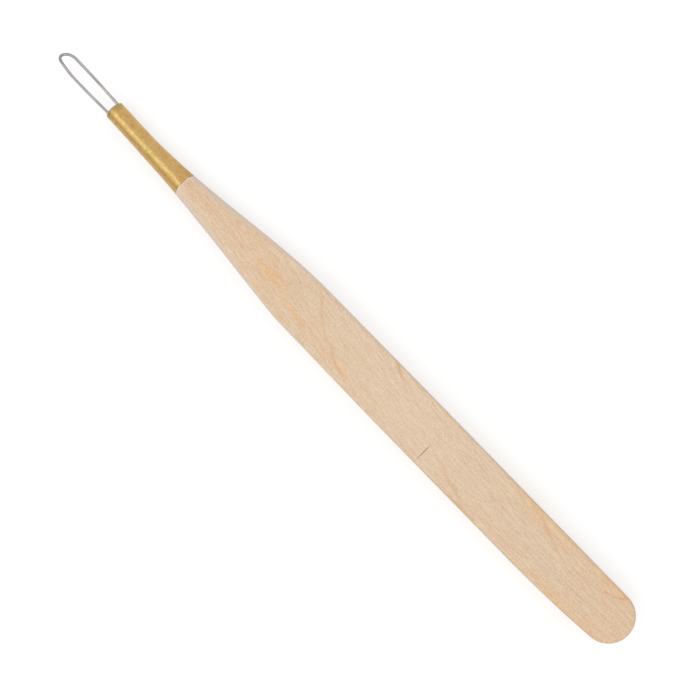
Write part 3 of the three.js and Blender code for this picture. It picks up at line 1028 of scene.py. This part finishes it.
WHITE = (1.0, 1.0, 1.0, 1.0)
KEY_LEAN = math.radians(27)  # from upright, over the side that the butt is sanded on
KEY_DISTANCE = 0.5
KEY_SIZE = (0.6, 0.3)
KEY_AIM = (10, 0, 0)  # the middle of the ferrule, in millimetres from the shoulder
CARD_DISTANCE = 0.4  # the grey card stands on that side too, and draws a darker line in the metal
CARD_SIZE = (1.4, 0.15)
CARD_COLOUR = (0.95, 0.95, 0.95, 1.0)
FLOOR_SIZE = (4.0, 4.0)
FLOOR_GAP = 0.02 * MM
FLOOR_COLOUR = (0.5, 0.5, 0.5, 1.0)
FLOOR_GLOW = 0.58
CAMERA_PLACE = (-39.906, -0.524)  # over the tool, in millimetres from the shoulder
SENSOR_WIDTH = 36.0  # millimetres


def seen(tree):
    """1 for the rays that show something to the camera, straight or in metal or glass, 0 for the rest."""
    rays = add_node(tree, "ShaderNodeLightPath")
    share = rays.outputs["Is Camera Ray"]
    for kind in ("Is Glossy Ray", "Is Transmission Ray"):
        share = add_node(
            tree, "ShaderNodeMath", {0: share, 1: rays.outputs[kind]}, operation="MAXIMUM"
        ).outputs[0]
    return share


def studio_sky(brightness):
    """A sky that lights the tool evenly from all round, and is white to the eye and in the metal."""
    world = bpy.data.worlds.new("studio_sky")
    tree = cleared_tree(world)
    level = add_node(tree, "ShaderNodeMapRange", {"Value": seen(tree), "To Min": brightness})
    sky = add_node(
        tree, "ShaderNodeBackground", {"Color": WHITE, "Strength": level.outputs["Result"]}
    )
    add_node(tree, "ShaderNodeOutputWorld", {"Surface": sky.outputs[0]})
    return world


def floor_finish():
    """A plain pale floor that keeps the tool's shadow, and is white to the eye and in the metal."""
    material = bpy.data.materials.new("pale_floor")
    tree = cleared_tree(material)
    glow = add_node(tree, "ShaderNodeMath", {0: seen(tree), 1: FLOOR_GLOW}, operation="MULTIPLY")
    glow = add_node(tree, "ShaderNodeEmission", {"Color": WHITE, "Strength": glow.outputs[0]})
    diffuse = add_node(tree, "ShaderNodeBsdfDiffuse", {"Color": FLOOR_COLOUR})
    both = add_node(tree, "ShaderNodeAddShader", {0: diffuse.outputs[0], 1: glow.outputs[0]})
    add_node(tree, "ShaderNodeOutputMaterial", {"Surface": both.outputs[0]})
    return material


def card_finish():
    """Plain matt card."""
    material = bpy.data.materials.new("grey_card")
    tree = cleared_tree(material)
    diffuse = add_node(tree, "ShaderNodeBsdfDiffuse", {"Color": CARD_COLOUR})
    add_node(tree, "ShaderNodeOutputMaterial", {"Surface": diffuse.outputs[0]})
    return material


def add_plane(name, finish, size, at, tilt):
    """A flat plane of a width and a depth, tilted about its width."""
    deselect()
    bpy.ops.mesh.primitive_plane_add(size=1.0, location=at, rotation=(tilt, 0.0, 0.0))
    plane = bpy.context.object
    plane.name = name
    plane.scale = (*size, 1.0)
    plane.data.materials.append(finish)
    return plane


def add_key_lamp(power):
    """A long soft box overhead, aimed at the ferrule."""
    deselect()
    aim = place(*KEY_AIM)
    overhead = Vector((0.0, math.sin(KEY_LEAN), math.cos(KEY_LEAN)))
    bpy.ops.object.light_add(type="AREA", location=aim + overhead * KEY_DISTANCE)
    lamp = bpy.context.object
    lamp.name = "key_lamp"
    lamp.rotation_euler = (-overhead).to_track_quat("-Z", "Y").to_euler()
    lamp.data.shape = "RECTANGLE"
    lamp.data.size, lamp.data.size_y = KEY_SIZE
    lamp.data.energy = power


def add_camera(stage):
    """A camera straight above the tool."""
    bpy.ops.object.camera_add(
        location=place(*CAMERA_PLACE, 0.0) + Vector((0.0, 0.0, stage.camera_height)),
        rotation=(0.0, 0.0, stage.picture_turn),
    )
    camera = bpy.context.object
    camera.data.sensor_width = SENSOR_WIDTH
    camera.data.lens = SENSOR_WIDTH * stage.camera_height / stage.picture_width
    camera.data.clip_start = MM
    return camera


class WIRETOOL_OT_handle(bpy.types.Operator):
    """Models the hardwood handle"""
    bl_idname = "wiretool.handle"
    bl_label = "Wooden handle"

    def execute(self, context):
        seat(model_handle(), "hardwood_handle", "wood_handle", hardwood_finish())
        return {"FINISHED"}


class WIRETOOL_OT_ferrule(bpy.types.Operator):
    """Models the drawn brass ferrule"""
    bl_idname = "wiretool.ferrule"
    bl_label = "Brass ferrule"

    def execute(self, context):
        seat(model_ferrule(), "drawn_ferrule", "brass_ferrule", brass_finish())
        return {"FINISHED"}


class WIRETOOL_OT_filling(bpy.types.Operator):
    """Models the resin that holds the wire in the ferrule's nose"""
    bl_idname = "wiretool.filling"
    bl_label = "Setting resin"

    def execute(self, context):
        seat(model_filling(), "nose_filling", "setting_resin", resin_finish())
        return {"FINISHED"}


class WIRETOOL_OT_loop(bpy.types.Operator):
    """Models the steel wire loop"""
    bl_idname = "wiretool.loop"
    bl_label = "Wire loop"

    def execute(self, context):
        seat(model_loop(), "steel_loop", "wire_loop", steel_finish())
        return {"FINISHED"}


class WIRETOOL_OT_stage(bpy.types.Operator):
    """Sets the floor, the grey card, the sky, the lamp and the camera"""
    bl_idname = "wiretool.stage"
    bl_label = "Studio"

    def execute(self, context):
        stage = settings("stage_settings")
        scene = context.scene
        scene.view_settings.view_transform = "Standard"
        ground = handle_low.z
        floor_place = (0.0, 0.0, ground - FLOOR_GAP)
        floor = add_plane("floor", floor_finish(), FLOOR_SIZE, floor_place, tilt=0.0)
        card_place = (0.0, CARD_DISTANCE, ground + CARD_SIZE[1] / 2)
        card = add_plane("grey_card", card_finish(), CARD_SIZE, card_place, tilt=math.pi / 2)
        card.visible_camera = False
        card.visible_diffuse = False
        card.visible_shadow = False
        scene.world = studio_sky(stage.sky)
        add_key_lamp(stage.key)
        scene.camera = add_camera(stage)
        return {"FINISHED"}


class WIRETOOL_PT_panel(bpy.types.Panel):
    """Lists the pieces of the tool"""
    bl_idname = "WIRETOOL_PT_panel"
    bl_label = "Wire Tool"
    bl_space_type = "VIEW_3D"
    bl_region_type = "UI"
    bl_category = "Wire Tool"

    def draw(self, context):
        for operator in OPERATORS:
            self.layout.operator(operator.bl_idname)


GROUPS = {
    "handle_sizes": HandleSizes,
    "ferrule_sizes": FerruleSizes,
    "loop_sizes": LoopSizes,
    "finishes": Finishes,
    "stage_settings": StageSettings,
}
OPERATORS = [
    WIRETOOL_OT_handle,
    WIRETOOL_OT_ferrule,
    WIRETOOL_OT_filling,
    WIRETOOL_OT_loop,
    WIRETOOL_OT_stage,
]


def register():
    for name, group in GROUPS.items():
        bpy.utils.register_class(group)
        setattr(bpy.types.Scene, name, bpy.props.PointerProperty(type=group))
    for operator in OPERATORS:
        bpy.utils.register_class(operator)
    bpy.utils.register_class(WIRETOOL_PT_panel)


def unregister():
    bpy.utils.unregister_class(WIRETOOL_PT_panel)
    for operator in reversed(OPERATORS):
        bpy.utils.unregister_class(operator)
    for name, group in reversed(GROUPS.items()):
        delattr(bpy.types.Scene, name)
        bpy.utils.unregister_class(group)


def main():
    register()
    bpy.ops.wiretool.handle()
    bpy.ops.wiretool.ferrule()
    bpy.ops.wiretool.filling()
    bpy.ops.wiretool.loop()
    bpy.ops.wiretool.stage()


if __name__ == "__main__":
    main()
